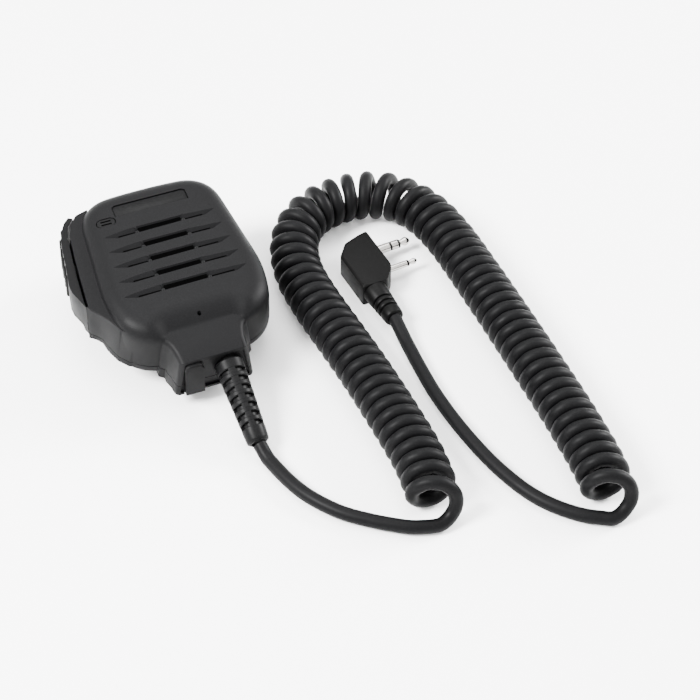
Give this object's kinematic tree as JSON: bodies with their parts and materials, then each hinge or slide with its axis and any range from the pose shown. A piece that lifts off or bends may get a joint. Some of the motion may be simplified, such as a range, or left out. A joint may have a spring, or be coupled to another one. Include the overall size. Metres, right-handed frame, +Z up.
{
  "type": "hand microphone",
  "caption": "Palm-sized speaker-microphone with side talk bar, rear spring clip, curly cord and right-angled two-pin plug.",
  "frame": {"origin": "on the surface the microphone lies on, under the middle of the head's box, cord and plug left out", "axes": "+X to the right of the face, +Y to the top of the head, away from the cable, +Z up out of the face"},
  "size_m": [0.159, 0.1909, 0.0381],
  "materials": {
    "case_plastic": "charcoal, fine spark texture",
    "badge": "blank satin plate",
    "bar_rubber": "matte, ribbed",
    "soft_rubber": "matte",
    "cord_jacket": "satin",
    "plug_plastic": "moulded satin",
    "nickel": "bright nickel",
    "dark_steel": "black lacquered steel",
    "bright_steel": "zinc plated",
    "black_plastic": "plain",
    "board": "green solder mask",
    "cone_paper": "pressed paper",
    "felt": "thin acoustic felt"
  },
  "bodies": {
    "case": {"front_case": "case_plastic", "rear_cover": "case_plastic", "case_gasket": "soft_rubber", "badge_plate": "badge", "vent_insert": "soft_rubber", "grille_cloth": "felt", "speaker_frame": "bright_steel", "speaker_cone": "cone_paper", "speaker_magnet": "dark_steel", "speaker_ring": "black_plastic", "capsule_boot": "soft_rubber", "mic_capsule": "bright_steel", "circuit_board": "board", "talk_switch": "black_plastic", "earphone_jack": "black_plastic", "case_screw_1": "bright_steel", "case_screw_2": "bright_steel", "case_screw_3": "bright_steel", "case_screw_4": "bright_steel", "clip_base": "dark_steel", "swivel_screw": "bright_steel", "cable_boot": "soft_rubber", "plug_body": "plug_plastic", "plug_relief": "plug_plastic", "pin_35_sleeve": "nickel", "pin_35_insulator_1": "black_plastic", "pin_35_ring": "nickel", "pin_35_insulator_2": "black_plastic", "pin_35_tip": "nickel", "pin_25_sleeve": "nickel", "pin_25_insulator_1": "black_plastic", "pin_25_tip": "nickel", "lead_to_head": "cord_jacket", "coil_cord": "cord_jacket", "lead_to_plug": "cord_jacket"},
    "talk_bar": {"ptt_bar": "bar_rubber", "ptt_plunger": "black_plastic"},
    "cap": {"dust_cap": "soft_rubber"},
    "clip": {"clip_frame": "dark_steel", "clip_pin": "bright_steel", "clip_spring": "bright_steel"},
    "lever": {"clip_lever": "dark_steel"}
  },
  "joints": [
    {"name": "ptt_press", "type": "slide", "parent": "case", "child": "talk_bar", "axis": [1, 0, 0], "range_m": [0, 0.0007], "stiffness_N_per_m": 2500, "springref_m": -0.0006},
    {"name": "dust_cap_open", "type": "hinge", "parent": "case", "child": "cap", "pos_m": [-0.00294, -0.02492, 0.0065], "axis": [1, 0, 0], "range_deg": [0, 100]},
    {"name": "clip_swivel", "type": "hinge", "parent": "case", "child": "clip", "pos_m": [0.00486, 0.02188, 0.01082], "axis": [0, -0.1045, 0.9945], "continuous": true},
    {"name": "clip_open", "type": "hinge", "parent": "clip", "child": "lever", "pos_m": [0.00486, 0.03164, 0.0041], "axis": [1, 0, 0], "range_deg": [0, 25], "stiffness_Nm_per_rad": 0.15, "springref_deg": -57.3}
  ]
}
